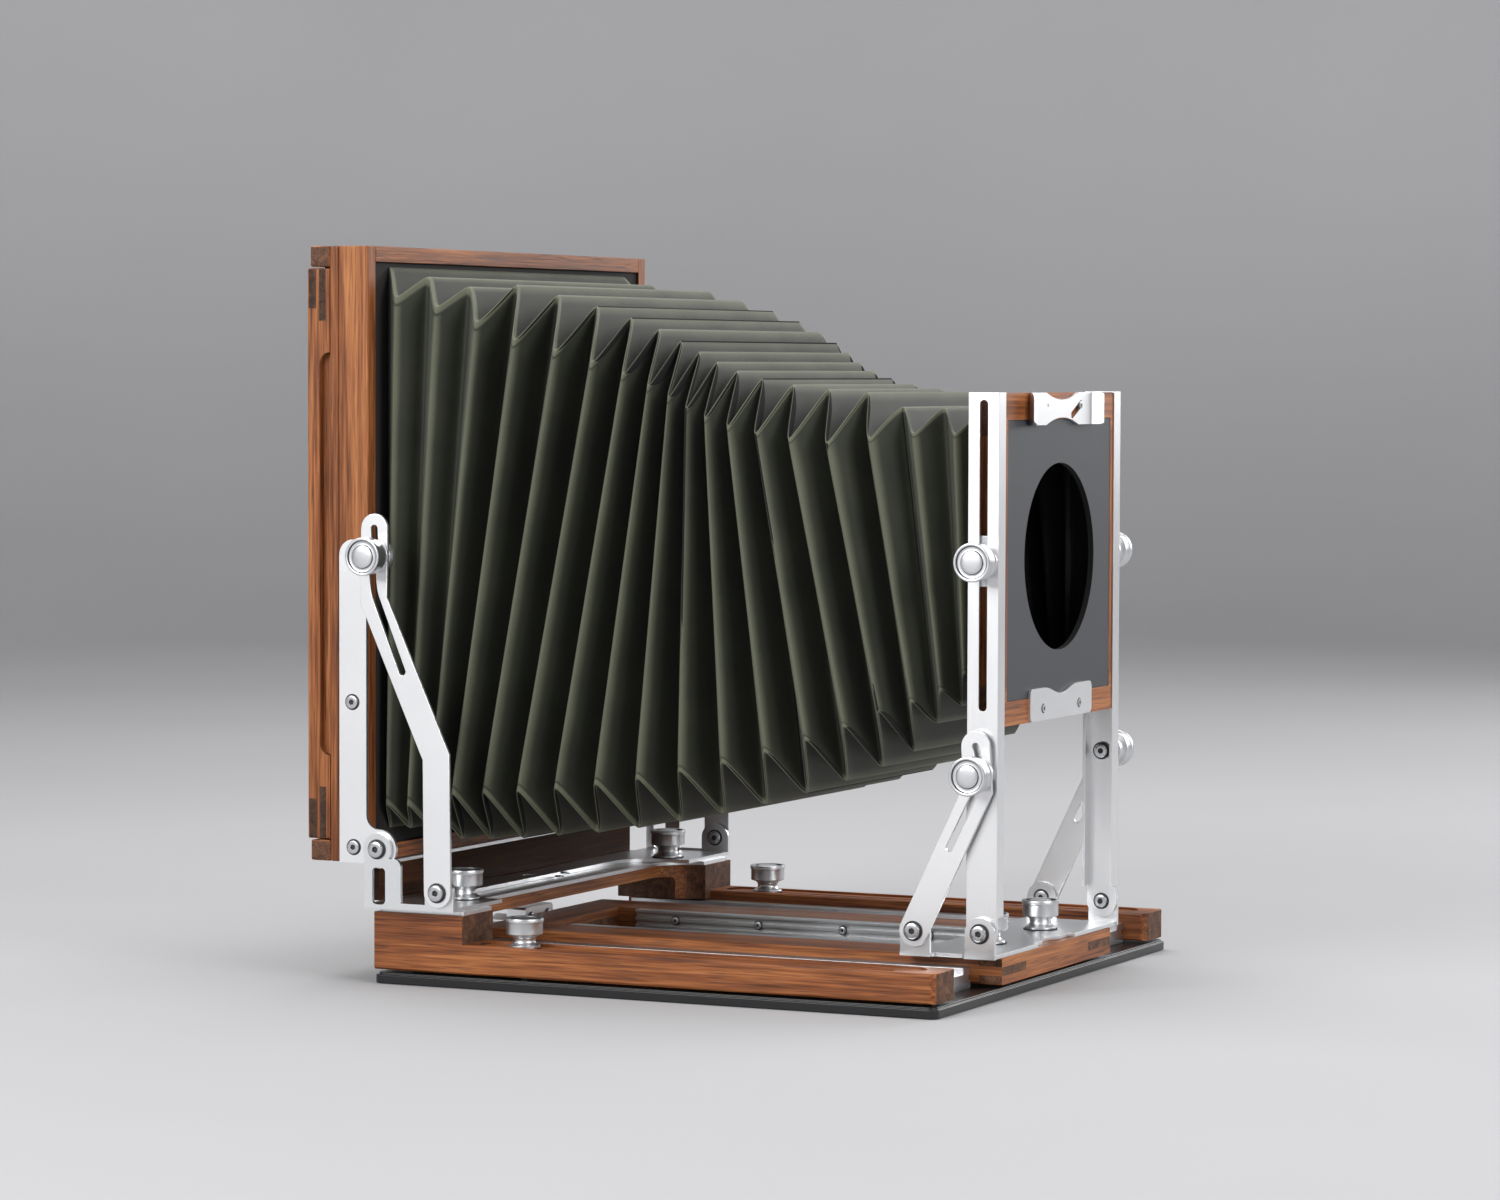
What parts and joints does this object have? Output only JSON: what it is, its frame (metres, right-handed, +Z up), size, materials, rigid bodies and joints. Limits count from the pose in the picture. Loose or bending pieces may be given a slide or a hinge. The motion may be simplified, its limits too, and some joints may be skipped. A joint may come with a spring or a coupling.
{
  "type": "large format field camera",
  "caption": "Wooden view camera for sheet film with pleated bellows, tilting front and rear standards on sliding carriages, and a square base plate.",
  "frame": {"origin": "centre of the tripod bush's mouth, on the base plate's underside", "axes": "+Z up, -Y the way the lens looks, +Y towards the focusing screen, X across the camera"},
  "size_m": [0.45, 0.4558, 0.4776],
  "materials": {
    "walnut": "oiled, open grain",
    "dark_walnut": "dark stained",
    "satin_aluminium": "fine satin, clear anodised",
    "steel": "turned stainless",
    "brass": "satin",
    "black_plate": "smooth black anodised",
    "charcoal_board": "matt charcoal",
    "dark_board": "matt blackened",
    "ground_glass": "finely ground on one side",
    "bellows_fabric": "matt olive coated cloth"
  },
  "bodies": {
    "base": {"base_plate": "black_plate", "tripod_bush": "steel", "guide_rails": "satin_aluminium", "rail_studs": "steel", "screw_bearing": "satin_aluminium"},
    "rear_carriage": {"side_rail_left": "walnut", "side_rail_right": "walnut", "bridge_beam": "walnut", "carriage_runners": "satin_aluminium", "rear_lower_plate": "satin_aluminium", "rear_plate_studs": "steel"},
    "rail_knob_left": {"rail_knob_left": "satin_aluminium"},
    "rail_knob_right": {"rail_knob_right": "satin_aluminium"},
    "rear_plate_knob_left": {"rear_plate_knob_left": "satin_aluminium"},
    "rear_plate_knob_right": {"rear_plate_knob_right": "satin_aluminium"},
    "rear_swing_plate": {"rear_upper_plate": "satin_aluminium", "rear_sill": "dark_walnut", "sill_cap": "satin_aluminium", "rear_strut_screws": "steel"},
    "rear_struts": {"rear_strut_left": "satin_aluminium", "rear_strut_right": "satin_aluminium"},
    "rear_standard": {"rear_frame": "walnut", "rear_brackets": "satin_aluminium", "rear_frame_studs": "steel", "reversing_back": "walnut", "bellows_rear_frame": "dark_board", "back_springs": "steel", "bellows": "bellows_fabric"},
    "rear_tilt_knob_left": {"rear_tilt_knob_left": "satin_aluminium"},
    "rear_tilt_knob_right": {"rear_tilt_knob_right": "satin_aluminium"},
    "focusing_back": {"focusing_frame": "walnut", "ground_glass": "ground_glass", "glass_clips": "satin_aluminium"},
    "front_bed": {"bed_frame": "walnut", "bed_runners": "satin_aluminium", "bed_tracks": "satin_aluminium", "focus_nut": "brass"},
    "focus_drive": {"focus_screw": "brass", "focus_knob": "satin_aluminium"},
    "front_carriage": {"front_carriage": "satin_aluminium", "front_plate_studs": "steel"},
    "front_plate": {"front_plate": "satin_aluminium", "front_strut_screws": "steel"},
    "front_plate_knob_left": {"front_plate_knob_left": "satin_aluminium"},
    "front_plate_knob_right": {"front_plate_knob_right": "satin_aluminium"},
    "front_uprights": {"upright_left": "satin_aluminium", "upright_right": "satin_aluminium", "upright_studs": "steel"},
    "front_struts": {"front_strut_left": "satin_aluminium", "front_strut_right": "satin_aluminium"},
    "front_tilt_knob_left": {"front_tilt_knob_left": "satin_aluminium"},
    "front_tilt_knob_right": {"front_tilt_knob_right": "satin_aluminium"},
    "lens_slider": {"lens_slides": "steel"},
    "rise_knob_left": {"rise_knob_left": "satin_aluminium"},
    "rise_knob_right": {"rise_knob_right": "satin_aluminium"},
    "lens_frame": {"lens_frame": "walnut", "lens_board": "charcoal_board", "lens_board_lip": "satin_aluminium", "bellows_front_frame": "dark_board"},
    "latch": {"lens_board_latch": "satin_aluminium"}
  },
  "joints": [
    {"name": "carriage_slide", "type": "slide", "parent": "base", "child": "rear_carriage", "axis": [0, 1, 0], "range_m": [0, 0.12], "deforming": ["bellows"]},
    {"name": "rail_clamp_left", "type": "hinge", "parent": "base", "child": "rail_knob_left", "pos_m": [-0.184, 0.0968, 0.04], "axis": [0, 0, 1], "continuous": true},
    {"name": "rail_clamp_right", "type": "hinge", "parent": "base", "child": "rail_knob_right", "pos_m": [0.184, 0.0968, 0.04], "axis": [0, 0, 1], "continuous": true},
    {"name": "rear_swing", "type": "hinge", "parent": "rear_carriage", "child": "rear_swing_plate", "pos_m": [0, 0.1895, 0.05], "axis": [0, 0, 1], "range_deg": [-3, 3], "deforming": ["bellows"]},
    {"name": "rear_swing_clamp_left", "type": "hinge", "parent": "rear_carriage", "child": "rear_plate_knob_left", "pos_m": [-0.15, 0.1594, 0.06], "axis": [0, 0, 1], "continuous": true},
    {"name": "rear_swing_clamp_right", "type": "hinge", "parent": "rear_carriage", "child": "rear_plate_knob_right", "pos_m": [0.15, 0.1594, 0.06], "axis": [0, 0, 1], "continuous": true},
    {"name": "rear_tilt", "type": "hinge", "parent": "rear_swing_plate", "child": "rear_standard", "pos_m": [0, 0.1937, 0.0874], "axis": [1, 0, 0], "range_deg": [0, 10], "deforming": ["bellows"]},
    {"name": "rear_strut_turn", "type": "hinge", "parent": "rear_swing_plate", "child": "rear_struts", "pos_m": [0, 0.1478, 0.0614], "axis": [1, 0, 0], "range_deg": [0, 9.5]},
    {"name": "rear_tilt_clamp_left", "type": "hinge", "parent": "rear_standard", "child": "rear_tilt_knob_left", "pos_m": [-0.215, 0.1937, 0.2776], "axis": [1, 0, 0], "continuous": true},
    {"name": "rear_tilt_clamp_right", "type": "hinge", "parent": "rear_standard", "child": "rear_tilt_knob_right", "pos_m": [0.215, 0.1937, 0.2776], "axis": [1, 0, 0], "continuous": true},
    {"name": "back_pull", "type": "slide", "parent": "rear_standard", "child": "focusing_back", "axis": [0, 1, 0], "range_m": [0, 0.012], "stiffness_N_per_m": 1500, "springref_m": -0.004, "deforming": ["back_springs"]},
    {"name": "bed_focus", "type": "slide", "parent": "base", "child": "front_bed", "axis": [0, -1, 0], "range_m": [0, 0.09], "deforming": ["bellows"]},
    {"name": "focus_turn", "type": "hinge", "parent": "base", "child": "focus_drive", "pos_m": [0, 0.205, 0.0125], "axis": [0, 1, 0], "range_deg": [0, 4060]},
    {"name": "front_carriage_slide", "type": "slide", "parent": "front_bed", "child": "front_carriage", "axis": [0, 1, 0], "range_m": [0, 0.025], "deforming": ["bellows"]},
    {"name": "front_shift", "type": "slide", "parent": "front_carriage", "child": "front_plate", "axis": [1, 0, 0], "range_m": [-0.012, 0.012], "deforming": ["bellows"]},
    {"name": "front_shift_clamp_left", "type": "hinge", "parent": "front_carriage", "child": "front_plate_knob_left", "pos_m": [-0.044, -0.1685, 0.04], "axis": [0, 0, 1], "continuous": true},
    {"name": "front_shift_clamp_right", "type": "hinge", "parent": "front_carriage", "child": "front_plate_knob_right", "pos_m": [0.044, -0.1685, 0.04], "axis": [0, 0, 1], "continuous": true},
    {"name": "front_tilt", "type": "hinge", "parent": "front_plate", "child": "front_uprights", "pos_m": [0, -0.1885, 0.0425], "axis": [1, 0, 0], "range_deg": [-4, 15], "deforming": ["bellows"]},
    {"name": "front_strut_turn", "type": "hinge", "parent": "front_plate", "child": "front_struts", "pos_m": [0, -0.144, 0.0425], "axis": [1, 0, 0], "range_deg": [-4, 15]},
    {"name": "front_tilt_clamp_left", "type": "hinge", "parent": "front_uprights", "child": "front_tilt_knob_left", "pos_m": [-0.12, -0.1885, 0.1438], "axis": [1, 0, 0], "continuous": true},
    {"name": "front_tilt_clamp_right", "type": "hinge", "parent": "front_uprights", "child": "front_tilt_knob_right", "pos_m": [0.12, -0.1885, 0.1438], "axis": [1, 0, 0], "continuous": true},
    {"name": "lens_rise", "type": "slide", "parent": "front_uprights", "child": "lens_slider", "axis": [0, 0, 1], "range_m": [-0.04, 0.05], "deforming": ["bellows"]},
    {"name": "rise_clamp_left", "type": "hinge", "parent": "lens_slider", "child": "rise_knob_left", "pos_m": [-0.115, -0.1885, 0.278], "axis": [1, 0, 0], "continuous": true},
    {"name": "rise_clamp_right", "type": "hinge", "parent": "lens_slider", "child": "rise_knob_right", "pos_m": [0.115, -0.1885, 0.278], "axis": [1, 0, 0], "continuous": true},
    {"name": "lens_tilt", "type": "hinge", "parent": "lens_slider", "child": "lens_frame", "pos_m": [0, -0.1885, 0.278], "axis": [1, 0, 0], "range_deg": [-10, 10], "deforming": ["bellows"]},
    {"name": "latch_slide", "type": "slide", "parent": "lens_frame", "child": "latch", "axis": [0.9034, 0, 0.4288], "range_m": [0, 0.012]}
  ],
  "couplings": [
    {"joint": "rear_strut_turn", "follows": "rear_tilt", "ratio": 0.93},
    {"joint": "focus_turn", "follows": "bed_focus", "rad_per_m": 785.4},
    {"joint": "front_strut_turn", "follows": "front_tilt", "ratio": 0.97}
  ]
}
